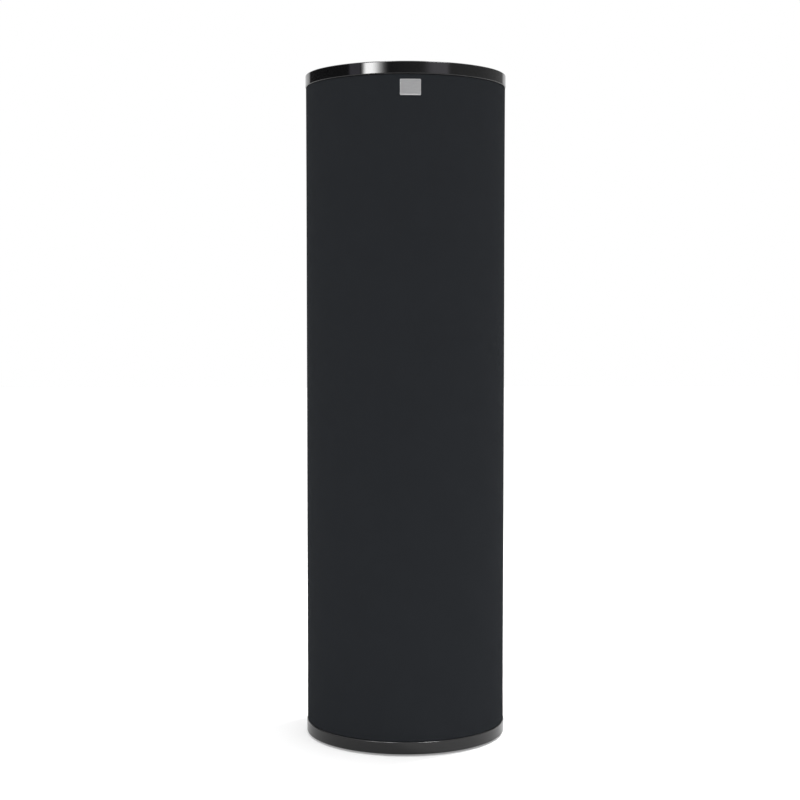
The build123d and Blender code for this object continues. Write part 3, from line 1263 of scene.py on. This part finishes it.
@dataclass
class RearSeam:
    """The felled seam up the cover's back: a low ridge, drawn in along its two rows of stitches."""

    radius: float  # the cover's
    low: float
    high: float
    corner: float
    width: float = 0.009
    rise: float = 0.0008
    step: float = 0.00075
    points_across: int = 23
    shoulder: float = 0.18  # the share of its width over which each side of the ridge rises
    underside: float = 0.9  # its width under the cloth, as a share
    underside_points: int = 3
    sink: float = 0.0006  # how far it reaches into the cloth
    dip: float = 0.0001  # how far a groove may reach below the cloth's surface
    wander: tuple[tuple[float, float, float], ...] = ((0.00025, 21.0, 0.0), (0.00012, 67.0, 1.0))
    rows_apart: float = 0.0052
    groove: float = 0.00030
    groove_reach: float = 0.0006
    groove_least: float = 0.55  # its depth between two stitches, as a share
    stitch_length: float = 0.0023
    stitch_spacing: float = 0.0030
    stitch_slant: tuple[float, float, float] = (0.05, 0.07, 0.0)
    stitch_margin: float = 0.0048  # where the rows start and end, from the cover's ends
    stitch_seed: int = 11
    thread_radius: float = 0.00022
    thread_sink: float = 0.00028
    thread_segments: int = 8
    thread_rings: int = 6

    def ridge(self) -> bpy.types.Object:
        """Makes the ridge.

        Returns:
            The piece.
        """
        across = np.linspace(-0.5, 0.5, self.points_across) * self.width
        count = int((self.high - self.low) / self.step)
        heights = np.linspace(self.low + self.corner / 2, self.high - self.corner / 2, count)
        from_end = np.minimum(heights - self.low, self.high - heights)
        off_corner = np.clip(self.corner - from_end, 0, None)
        corner_in = self.corner - np.sqrt(np.clip(self.corner**2 - off_corner**2, 0, None))
        top = self.radius - corner_in[None, :] + np.maximum(self._lift(across, heights, from_end), -self.dip)
        bottom = np.broadcast_to(self.radius - corner_in - self.sink, (self.underside_points, count))
        radius = np.concatenate([top, bottom])
        under = across[[-1, len(across) // 2, 0]] * self.underside
        spread = np.concatenate([across, under])
        wander = sum(reach * np.sin(heights * rate + phase) for reach, rate, phase in self.wander)
        angle = REAR - (spread[:, None] + wander[None, :]) / self.radius
        height = np.broadcast_to(heights, radius.shape)
        points = np.stack([radius * np.cos(angle), radius * np.sin(angle), height], axis=-1)
        around = np.concatenate([spread + self.width, [self.width]])
        grid = SurfaceGrid(points, around, along_columns=heights, closed_columns=False, turned=True)
        return grid.build("cover_seam")

    def _lift(self, across: np.ndarray, heights: np.ndarray, from_end: np.ndarray) -> np.ndarray:
        """Shapes the ridge: its rounded shoulders, its grooves, and its tapered ends.

        Args:
            across: how far each point is from the seam's middle.
            heights: the levels up the seam.
            from_end: how far each level is from the nearer end.

        Returns:
            How far the ridge stands off the cloth, points across x levels.
        """
        shoulder = np.clip((self.width / 2 - np.abs(across)) / (self.shoulder * self.width), 0, 1)
        body = self.rise * np.sqrt(shoulder * (2 - shoulder))
        from_row = np.abs(np.abs(across) - self.rows_apart / 2)
        drawn = np.exp(-((from_row / self.groove_reach) ** 2))
        tight = np.cos(math.tau * heights / self.stitch_spacing) ** 2
        pulled = self.groove_least + (1 - self.groove_least) * tight
        taper = np.clip((from_end - self.corner / 2) / (2 * self.corner), 0, 1)
        return (body[:, None] - self.groove * drawn[:, None] * pulled[None, :]) * taper[None, :]

    def stitches(self) -> bpy.types.Object:
        """Makes two rows of thread along the seam.

        Returns:
            The piece.
        """
        surface = self.radius + self.rise - self.thread_sink
        scatter = Scatter("cover_seam_stitches", {
            "Start": ("NodeSocketVector", (0.0, surface, self.low + self.stitch_margin)),
            "End": ("NodeSocketVector", (0.0, surface, self.high - self.stitch_margin)),
            "Rows apart": ("NodeSocketFloat", self.rows_apart),
            "Spacing": ("NodeSocketFloat", self.stitch_spacing),
            "Stitch length": ("NodeSocketFloat", self.stitch_length),
            "Thread radius": ("NodeSocketFloat", self.thread_radius),
            "Seed": ("NodeSocketInt", self.stitch_seed),
            "Material": ("NodeSocketMaterial", THREAD),
        })
        nodes, given = scatter.nodes, scatter.given
        ball = nodes.add(
            "GeometryNodeMeshUVSphere",
            {"Segments": self.thread_segments, "Rings": self.thread_rings, "Radius": 1.0},
        ).outputs[0]
        thick = given["Thread radius"]
        size = {"X": thick, "Y": thick, "Z": nodes.times(given["Stitch length"], 0.5)}
        size = nodes.add("ShaderNodeCombineXYZ", size).outputs[0]
        stitch = nodes.add("GeometryNodeTransform", {"Geometry": ball, "Scale": size}).outputs[0]
        line = {"Start": given["Start"], "End": given["End"]}
        line = nodes.add("GeometryNodeCurvePrimitiveLine", line).outputs[0]
        spots = {"Curve": line, "Length": given["Spacing"]}
        spots = nodes.add("GeometryNodeCurveToPoints", spots, mode="LENGTH").outputs[0]
        slant = scatter.random_turn(tuple(-turn for turn in self.stitch_slant), self.stitch_slant)
        row = {"Points": spots, "Instance": stitch, "Rotation": slant}
        row = nodes.add("GeometryNodeInstanceOnPoints", row).outputs[0]
        rows = nodes.add("GeometryNodeJoinGeometry")
        for side in (-0.5, 0.5):
            shifted = scatter.moved(row, X=nodes.times(given["Rows apart"], side))
            nodes.feed(rows.inputs[0], shifted)
        return scatter.finish(rows.outputs[0])


# The edge bands -----------------------------------------------------------------------------------
@dataclass
class EdgeBand:
    """A glossy, slightly wavy strip round a board, with rounded edges and its ends butted at the rear."""

    node: str
    board: str
    seed: int
    columns: int = 720
    edge_radius: float = 0.0013
    edge_steps: int = 6
    support: float = 0.0003  # flat rows beside the rounded edges, which keep their shading apart
    flat_rows: int = 3
    joint_gap: float = 0.0003
    wave: float = 0.00004
    hand: Waves = ((7, 0.0), (12, 9.0), (19, -14.0), (26, 6.0))
    skin: float = 0.00001  # what counts as lying on a face

    def build(self) -> None:
        """Makes the strip."""
        radius, inner = outer_radius(self.node), outer_radius(self.board)
        low, high = levels(self.node)
        turn, edge_radius = radius - self.edge_radius, self.edge_radius
        flat = np.linspace(low, high, self.flat_rows + 4)[2:-2]
        outside = arc((turn, low + edge_radius), edge_radius, -90, 0, self.edge_steps)
        outside += [(radius, level) for level in (low + edge_radius + self.support, *flat)]
        outside += [(radius, high - edge_radius - self.support)]
        outside += arc((turn, high - edge_radius), edge_radius, 0, 90, self.edge_steps)
        profile = np.array([(inner, low), *outside, (inner, high)])
        angles = split_ring(self.joint_gap, radius, self.columns)
        wavy = waves(self.hand, angles, profile[:, 1], self.seed)
        relief = self.wave * (wavy - 1.0) * (profile[:, :1] > inner + edge_radius / 4)
        edge = (profile[:, 0] < radius - self.skin) & (profile[:, 0] > inner + self.skin)
        points = revolve(profile, angles, relief)
        grid = SurfaceGrid(points, distances(profile), angles * radius, False, edge.astype(float))
        settle(grid.build(f"{self.node}_strip"), "edge_band", MATERIALS["edge_band"], self.node)


# The badge ----------------------------------------------------------------------------------------
@dataclass
class Badge:
    """A blank plate bent to the column, with a raised border and softened edges."""

    corner: float = 0.0012
    least_corner: float = 0.0002
    border: float = 0.0010
    softening: float = 0.00010
    bevel: float = 0.00003  # where the softened edge turns most
    sink: float = 0.00016  # how far the plate's face lies below the border
    slope: float = 0.00024  # the width over which it sinks
    corner_steps: int = 6
    side_steps: int = 10
    rings: int = 8
    width: float = field(init=False)
    height: float = field(init=False)
    middle: float = field(init=False)  # the level of its centre
    back: float = field(init=False)  # how far its back is from the column's axis
    front: float = field(init=False)

    def __post_init__(self) -> None:
        """Reads the plate's place from the frame."""
        low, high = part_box("badge_plate")
        self.width, self.height = high.x - low.x, high.z - low.z
        self.middle = (high.z + low.z) / 2
        self.back, self.front = -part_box("badge_adhesive")[0].y, -low.y

    def build(self) -> None:
        """Makes the plate."""
        thickness = self.front - self.back
        outline = [
            (0.0, 0.0, 0.0),
            (0.0, thickness - self.softening, 0.5),
            (self.bevel, thickness - self.bevel, 1.0),
            (self.softening, thickness, 1.0),
            (self.border, thickness, 1.0),
            (self.border + self.slope, thickness - self.sink, 0.0),
        ]
        shrink = np.linspace(1.0, 0.0, self.rings + 1)[1:-1]
        face_inset, face_lift, _ = outline[-1]
        loops = [self._ring(0.0, 0.0, share) for share in shrink[::-1]]
        loops += [self._ring(inset, lift) for inset, lift, _ in outline]
        loops += [self._ring(face_inset, face_lift, share) for share in shrink]
        worn = [0.0] * len(shrink) + [edge for _, _, edge in outline] + [0.0] * len(shrink)
        edge = np.append(np.repeat(worn, len(loops[0])), [0.0, 0.0])
        settle(self._skin(loops, edge), "badge_aluminium", MATERIALS["badge_aluminium"], "badge_plate")

    def _ring(self, inset: float, lift: float, share: float = 1.0) -> list[tuple[float, float, float]]:
        """Draws one round-cornered loop of the flat plate.

        Args:
            inset: how far inside the plate's outline.
            lift: how far above the plate's back.
            share: how much the loop is shrunk towards the middle.

        Returns:
            Its points, as (across, up, lift).
        """
        corner = max(self.corner - inset, self.least_corner)
        reach_x, reach_z = self.width / 2 - inset - corner, self.height / 2 - inset - corner
        arcs = [
            arc((side_x * reach_x, side_z * reach_z), corner, start, start + 90, self.corner_steps)
            for start, side_x, side_z in ((0, 1, 1), (90, -1, 1), (180, -1, -1), (270, 1, -1))
        ]
        points = []
        for here, after in zip(arcs, arcs[1:] + arcs[:1]):
            points += here + np.linspace(here[-1], after[0], self.side_steps + 1)[1:-1].tolist()
        return [(share * x, share * z, lift) for x, z in points]

    def _bend(self, point: tuple[float, float, float]) -> tuple[float, float, float]:
        """Bends a point of the flat plate round the column.

        Args:
            point: across, up and lift.

        Returns:
            Its place on the column.
        """
        across, up, lift = point
        angle, radius = FRONT + across / self.front, self.back + lift
        return radius * math.cos(angle), radius * math.sin(angle), self.middle + up

    def _skin(self, loops: list[list[tuple]], edge: np.ndarray) -> bpy.types.Object:
        """Joins the loops into a closed plate, from the middle of its back to the middle of its front.

        Args:
            loops: the loops in that order.
            edge: for each point, and for the two middles, how worn it is.

        Returns:
            The piece.
        """
        count = len(loops[0])
        flat = [point for loop in loops for point in loop]
        flat += [(0.0, 0.0, loops[0][0][2]), (0.0, 0.0, loops[-1][0][2])]
        back_middle, front_middle, last = len(flat) - 2, len(flat) - 1, count * (len(loops) - 1)
        around = [(i, (i + 1) % count) for i in range(count)]
        faces = [
            (low + i, low + j, low + count + j, low + count + i)
            for low in range(0, last, count)
            for i, j in around
        ]
        for i, j in around:
            faces += [(back_middle, j, i), (front_middle, last + i, last + j)]
        uv = np.array([flat[corner][:2] for face in faces for corner in face])
        return add_surface("badge_blank_plate", [self._bend(point) for point in flat], faces, uv, edge)


# Caps over the top screws -------------------------------------------------------------------------
@dataclass
class ScrewCaps:
    """Four thin round caps, each softly crowned and turned its own way."""

    count: int = 4
    segments: int = 48
    crown: float = 0.00008
    crown_rings: tuple[float, ...] = (0.75, 0.5, 0.25, 0.0)  # as shares of the radius
    softening: float = 0.00015
    softening_steps: int = 4
    seed: int = 4

    def build(self) -> None:
        """Makes the caps at the frame's own places."""
        low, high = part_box("top_screw_caps")
        circle = self._circle()
        mould = self._mould(round((high.x - low.x) / 2 - circle, DECIMALS), high.z - low.z)
        scatter = Scatter("top_screw_cap_discs", {
            "Cap": ("NodeSocketObject", mould),
            "Circle": ("NodeSocketFloat", circle),
            "Level": ("NodeSocketFloat", low.z),
            "Seed": ("NodeSocketInt", self.seed),
            "Material": ("NodeSocketMaterial", MATERIALS["cap_plastic"]),
        })
        nodes, given = scatter.nodes, scatter.given
        spots = {"Vertices": self.count, "Radius": given["Circle"]}
        spots = nodes.add("GeometryNodeMeshCircle", spots).outputs[0]
        shape = nodes.add("GeometryNodeObjectInfo", {"Object": given["Cap"]}).outputs["Geometry"]
        turn = scatter.random_turn((0.0, 0.0, 0.0), (0.0, 0.0, math.tau))
        caps = {"Points": spots, "Instance": shape, "Rotation": turn}
        caps = nodes.add("GeometryNodeInstanceOnPoints", caps).outputs[0]
        piece = scatter.finish(scatter.moved(caps, Z=given["Level"]))
        bpy.data.objects.remove(mould)
        settle(piece, "cap_plastic", MATERIALS["cap_plastic"], "top_screw_caps")

    @staticmethod
    def _circle() -> float:
        """Finds the radius of the circle that the top screws stand on.

        Returns:
            The radius.
        """
        _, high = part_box("top_board_screws")
        across = np.array([v.co.x for v in frame["nodes"]["top_board_screws"].data.vertices])
        right = across[across > high.x / 2]
        return round(float((right.min() + right.max()) / 2), DECIMALS + 1)

    def _mould(self, radius: float, thickness: float) -> bpy.types.Object:
        """Turns one cap from its profile, at the origin.

        Args:
            radius: the cap's radius.
            thickness: its height in the middle.

        Returns:
            The cap.
        """
        flat, soft = thickness - self.crown, self.softening
        profile = [(0.0, 0.0), (radius - soft, 0.0), (radius, soft)]
        profile += arc((radius - soft, flat - soft), soft, 0, 90, self.softening_steps)
        profile += [(radius * share, flat + self.crown * (1 - share**2)) for share in self.crown_rings]
        shape = bmesh.new()
        rings = []
        for out, up in profile:
            turns = [math.tau * i / self.segments for i in range(self.segments if out else 1)]
            rings.append([shape.verts.new((out * math.cos(t), out * math.sin(t), up)) for t in turns])
        for inner, outer in zip(rings, rings[1:]):
            for i in range(self.segments):
                j = (i + 1) % self.segments
                corners = (
                    inner[i % len(inner)], inner[j % len(inner)], outer[j % len(outer)], outer[i % len(outer)]
                )
                shape.faces.new(list(dict.fromkeys(corners)))
        bmesh.ops.recalc_face_normals(shape, faces=shape.faces)
        mesh = bpy.data.meshes.new("cap_mould")
        shape.to_mesh(mesh)
        shape.free()
        mesh.shade_smooth()
        return add_mesh_object("cap_mould", mesh)


# What the sleeve hides ----------------------------------------------------------------------------
@dataclass
class WrappedLayer:
    """A thin layer round the core, with its ends meeting at the rear."""

    name: str
    node: str
    slot: str
    inner: float
    outer: float
    low: float
    high: float
    seed: int
    gap: float = 0.0008
    columns: int = 240
    rows: int = 40
    unevenness: float = 0.00008
    uneven_waves: Waves = ((17, 30.0), (29, -50.0), (41, 80.0))
    raggedness: float = 0.0003  # of the long edges
    ragged_waves: Waves = ((37, 0.0), (53, 0.0), (71, 0.0))
    ragged_power: int = 8  # the higher, the nearer to the edges it stays

    def build(self) -> bpy.types.Object:
        """Returns:
            The piece.
        """
        heights = np.linspace(self.low, self.high, self.rows)
        profile = np.array([(self.outer, h) for h in heights] + [(self.inner, h) for h in heights[::-1]])
        angles = split_ring(self.gap, self.outer, self.columns)
        uneven = waves(self.uneven_waves, angles, profile[:, 1], self.seed)
        points = revolve(profile, angles, self.unevenness * (uneven - 1.0))
        ragged = waves(self.ragged_waves, angles, np.zeros(1), self.seed + 1)
        from_middle = (2 * profile[:, 1] - self.low - self.high) / (self.high - self.low)
        share = np.clip(np.abs(from_middle), 0, 1) ** self.ragged_power * np.sign(from_middle)
        points[:, :, 2] += self.raggedness * share[:, None] * (ragged - 1.0)
        grid = SurfaceGrid(points, distances(profile), angles * self.outer, closed_columns=False)
        piece = settle(grid.build(self.name), self.slot, MATERIALS[self.slot], self.node)
        return piece


@dataclass
class WoolShell:
    """Half of the mineral wool tube, with soft arrises and a lumpy, fibrous surface."""

    node: str
    start: float  # the angle at which the half turn begins
    inner: float
    outer: float
    seed: int
    columns: int = 96
    rows: int = 56
    end_rows: int = 8
    arris: float = 0.003
    arris_steps: int = 3
    lumps: float = 0.0005
    lump_waves: Waves = ((23, 31.0), (37, -67.0), (52, 110.0), (9, 15.0))

    def build(self) -> bpy.types.Object:
        """Returns:
            The piece.
        """
        profile = self._profile(*levels(self.node))
        angles = self.start + np.linspace(0, math.pi, self.columns)
        lumpy = waves(self.lump_waves, angles, profile[:, 1], self.seed)
        inwards = np.where(profile[:, :1] > (self.inner + self.outer) / 2, -1.0, 1.0)
        points = revolve(profile, angles, self.lumps * inwards * (1 + lumpy) / 2)
        grid = SurfaceGrid(points, distances(profile), angles * self.outer, closed_columns=False)
        piece = settle(grid.build(f"{self.node}_wool"), "mineral_wool", MATERIALS["mineral_wool"], self.node)
        return piece

    def _profile(self, low: float, high: float) -> np.ndarray:
        """Draws the wall's section with its rounded arrises.

        Args:
            low: the level of its foot.
            high: the level of its top.

        Returns:
            rows x (radius, height).
        """
        soft, steps = self.arris, self.arris_steps
        up = np.linspace(low + soft, high - soft, self.rows)[1:-1]
        across = np.linspace(self.inner + soft, self.outer - soft, self.end_rows)[1:-1]
        return np.array([
            *arc((self.outer - soft, low + soft), soft, -90, 0, steps),
            *((self.outer, level) for level in up),
            *arc((self.outer - soft, high - soft), soft, 0, 90, steps),
            *((radius, high) for radius in across[::-1]),
            *arc((self.inner + soft, high - soft), soft, 90, 180, steps),
            *((self.inner, level) for level in up[::-1]),
            *arc((self.inner + soft, low + soft), soft, 180, 270, steps),
            *((radius, low) for radius in across),
        ])


@dataclass
class Core:
    """The fleece, the tape and the two wool shells."""

    fleece: float = 0.0015
    tape: float = 0.0005
    reflector: float = 0.001
    wall: float = 0.048
    tape_width: float = 0.025
    tape_count: int = 3
    tape_rows: int = 8
    tape_unevenness: float = 0.00004
    fleece_seed: int = 21
    tape_seed: int = 31
    front_seed: int = 41
    rear_seed: int = 43

    def build(self) -> None:
        """Makes each layer from the outside in."""
        fleece_outer = outer_radius("fleece_wrap")
        tape_outer = fleece_outer - self.fleece
        low, high = levels("fleece_wrap")
        WrappedLayer(
            "fleece_layer", "fleece_wrap", "fleece", tape_outer, fleece_outer, low, high, self.fleece_seed
        ).build()
        rear_outer = tape_outer - self.tape
        tape_low, tape_high = levels("core_tape_bands")
        starts = np.linspace(tape_low, tape_high - self.tape_width, self.tape_count).tolist()
        for index, low in enumerate(starts):
            WrappedLayer(
                f"core_tape_{index + 1}", "core_tape_bands", "cloth_tape", rear_outer, tape_outer, low,
                low + self.tape_width, self.tape_seed + index, rows=self.tape_rows,
                unevenness=self.tape_unevenness,
            ).build()
        inner = rear_outer - self.wall
        WoolShell("front_wool_shell", math.pi, inner, rear_outer - self.reflector, self.front_seed).build()
        WoolShell("rear_wool_shell", 0.0, inner, rear_outer, self.rear_seed).build()


@dataclass
class DressedNodes:
    """The frame's own nodes that stay as they are and only get their finish."""

    slots: tuple[str, ...] = (
        "board_melamine", "foot_rubber", "badge_adhesive", "zinc_steel", "reflector_plastic", "pine",
        "plywood",
    )

    def build(self) -> None:
        """Gives each such node the material of its slot."""
        for entry in frame["record"]["subparts"]:
            slot = entry["material_slot"]
            if slot in self.slots:
                node = frame["nodes"][entry["node"]]
                node.data.materials.clear()
                node.data.materials.append(MATERIALS[slot])
                log.info("%s: dressed as %s", node.name, slot)


# The studio ---------------------------------------------------------------------------------------
class Reach(Enum):
    """What a light reaches."""

    GLOSS = "only the glossy parts, which mirror it"
    FLOOR = "only the floor, whose brightness the glossy parts mirror"


@dataclass(frozen=True)
class SoftBox:
    """An area light placed by its direction from the column, facing it."""

    name: str
    azimuth: float  # degrees to the right of the column's front
    elevation: float
    width: float
    height: float
    radiance: float
    fade_left: float = 0.2  # the share of its width over which it fades in
    fade_right: float = 0.2
    tint: tuple[float, float, float] = (1.0, 1.0, 1.0)
    reach: Reach = Reach.GLOSS
    distance: float = 2.4
    target: float = 0.85  # the level on the column's axis that it faces

    def build(self, floor: bpy.types.Object) -> None:
        """Adds the light.

        Args:
            floor: the stage's floor.
        """
        data = bpy.data.lights.new(self.name, "AREA")
        data.shape = "RECTANGLE"
        data.size, data.size_y = self.width, self.height
        data.energy = self.radiance * math.pi * self.width * self.height
        data.color = self.tint
        data.use_nodes = True
        nodes = Nodes(data.node_tree)
        across, _, _ = nodes.axes(nodes.add("ShaderNodeNewGeometry").outputs["Parametric"])
        faded = nodes.times(
            nodes.span(across, 0.0, self.fade_left), nodes.span(across, 1.0, 1.0 - self.fade_right)
        )
        nodes.feed(nodes.tree.nodes["Emission"].inputs["Strength"], nodes.times(faded, faded))
        lamp = bpy.data.objects.new(self.name, data)
        turn, rise = math.radians(self.azimuth), math.radians(self.elevation)
        way = Vector((math.sin(turn) * math.cos(rise), -math.cos(turn) * math.cos(rise), math.sin(rise)))
        lamp.location = Vector((0, 0, self.target)) + way * self.distance
        lamp.rotation_euler = (-way).to_track_quat("-Z", "Y").to_euler()
        lamp.visible_camera = False
        lamp.visible_diffuse = self.reach is Reach.FLOOR
        lamp.visible_glossy = self.reach is Reach.GLOSS
        if self.reach is Reach.FLOOR:
            lit = bpy.data.collections.new(f"{self.name}_reaches")
            lit.objects.link(floor)
            lamp.light_linking.receiver_collection = lit
        bpy.context.scene.collection.objects.link(lamp)


@dataclass(frozen=True)
class Studio:
    """A white floor and backdrop, an overhead glow, and soft boxes that only the glossy parts mirror."""

    floor_half: float = 12.0
    floor_white: float = 0.68
    floor_roughness: float = 0.9
    floor_lift: float = 0.3  # how much brighter the floor looks to the camera
    glow: float = 2.1
    glow_behind: float = 1.4
    glow_from: float = 24.0  # degrees above the horizon where the glow starts
    glow_full: float = 38.0
    backdrop: float = 1.0
    backdrop_half_angle: float = 35.0
    backdrop_fade: float = 3.0  # degrees either way
    side_left: float = 0.02  # what the glossy parts mirror to the left
    side_right: float = 0.34
    side_even: float = 0.3  # what everything else gets from the sides
    boxes: tuple[SoftBox, ...] = (
        SoftBox("left_strip", -36.1, 13.0, 1.518, 0.45, radiance=22.0, fade_left=0.25, fade_right=0.63),
        SoftBox(
            "left_panel", -61.4, 13.0, 0.75, 0.6, radiance=0.65, fade_left=0.3, fade_right=0.05,
            tint=(0.87, 0.84, 1.0),
        ),
        SoftBox(
            "right_panel", 29.8, 13.0, 1.85, 0.6, radiance=0.95, fade_left=0.5, fade_right=0.24,
            tint=(0.93, 0.89, 1.0),
        ),
        SoftBox("left_high_box", -36.0, 62.0, 0.8, 0.8, radiance=20.0),
        SoftBox("right_high_box", 45.0, 58.0, 1.0, 0.9, radiance=32.0),
        SoftBox("floor_wash", 125.0, 42.0, 0.7, 0.7, radiance=44.0, reach=Reach.FLOOR, target=0.0),
    )

    def build(self) -> None:
        """Adds the floor, the surroundings and the lights."""
        bpy.context.scene.view_settings.view_transform = "Standard"
        floor = self._floor()
        self._surroundings()
        for box in self.boxes:
            box.build(floor)

    def _floor(self) -> bpy.types.Object:
        """Makes a plain pale floor.

        Returns:
            The floor.
        """
        half = self.floor_half
        mesh = bpy.data.meshes.new("floor")
        corners = [(-half, -half, 0), (half, -half, 0), (half, half, 0), (-half, half, 0)]
        mesh.from_pydata(corners, [], [(0, 1, 2, 3)])
        floor = add_mesh_object("floor", mesh)
        material = bpy.data.materials.new("floor_white")
        material.use_nodes = True
        nodes = Nodes(material.node_tree)
        shader = nodes.tree.nodes["Principled BSDF"].inputs
        shader["Base Color"].default_value = (self.floor_white, self.floor_white, self.floor_white, 1.0)
        shader["Roughness"].default_value = self.floor_roughness
        shader["Specular IOR Level"].default_value = 0.0
        shader["Emission Color"].default_value = (1.0, 1.0, 1.0, 1.0)
        seen = nodes.add("ShaderNodeLightPath").outputs["Is Camera Ray"]
        nodes.feed(shader["Emission Strength"], nodes.times(seen, self.floor_lift))
        mesh.materials.append(material)
        return floor

    def _surroundings(self) -> None:
        """Makes white behind the column and above it, dark in front, and white to the camera itself."""
        world = bpy.data.worlds.new("studio")
        bpy.context.scene.world = world
        world.use_nodes = True
        nodes = Nodes(world.node_tree)
        x, y, z = nodes.axes(nodes.add("ShaderNodeTexCoord").outputs["Generated"])
        glow_ends = [math.sin(math.radians(angle)) for angle in (self.glow_from, self.glow_full)]
        above = nodes.times(nodes.span(z, *glow_ends), nodes.span(y, -1.0, 1.0, self.glow, self.glow_behind))
        level = nodes.math("SQRT", nodes.math("ADD", nodes.times(x, x), nodes.times(y, y)))
        never_zero = 0.001
        turned = nodes.math("DIVIDE", y, nodes.math("MAXIMUM", level, never_zero))
        half, fade = self.backdrop_half_angle, self.backdrop_fade
        fade_ends = [math.cos(math.radians(angle)) for angle in (half + fade, half - fade)]
        behind = nodes.times(nodes.span(turned, *fade_ends), self.backdrop)
        rays = nodes.add("ShaderNodeLightPath").outputs
        mirrored = nodes.span(x, -1.0, 1.0, self.side_left, self.side_right)
        sides = nodes.blend(rays["Is Glossy Ray"], self.side_even, mirrored, kind="Float")
        around = nodes.math("MAXIMUM", nodes.math("MAXIMUM", above, behind), sides)
        background = nodes.tree.nodes["Background"].inputs
        background["Color"].default_value = (1.0, 1.0, 1.0, 1.0)
        nodes.feed(background["Strength"], nodes.blend(rays["Is Camera Ray"], around, 1.0, kind="Float"))


@dataclass(frozen=True)
class Camera:
    """Level with the upper part of the column and a little to its left, looking slightly down."""

    azimuth: float = -2.7  # degrees to the right of the column's front
    distance: float = 2.377  # from the column's axis
    height: float = 0.636
    pitch: float = -2.987
    yaw: float = 0.201  # to the left of the column's axis
    lens: float = 69.74
    sensor: float = 36.0

    def build(self) -> None:
        """Adds the camera and makes it the scene's."""
        data = bpy.data.cameras.new("camera")
        data.lens, data.sensor_width = self.lens, self.sensor
        camera = bpy.data.objects.new("camera", data)
        turn = math.radians(self.azimuth)
        camera.location = (math.sin(turn) * self.distance, -math.cos(turn) * self.distance, self.height)
        camera.rotation_euler = (math.radians(90 + self.pitch), 0.0, turn + math.radians(self.yaw))
        bpy.context.scene.collection.objects.link(camera)
        bpy.context.scene.camera = camera


def main() -> None:
    """Builds the camera and the studio, then each sub-assembly of the column."""
    logging.basicConfig(level=logging.INFO, format="%(message)s")
    Camera().build()
    Studio().build()
    DressedNodes().build()
    FabricSleeve().build()
    EdgeBand("top_edge_band", "top_board", seed=7).build()
    EdgeBand("bottom_edge_band", "bottom_board", seed=9).build()
    Badge().build()
    ScrewCaps().build()
    Core().build()


if __name__ == "__main__":
    main()
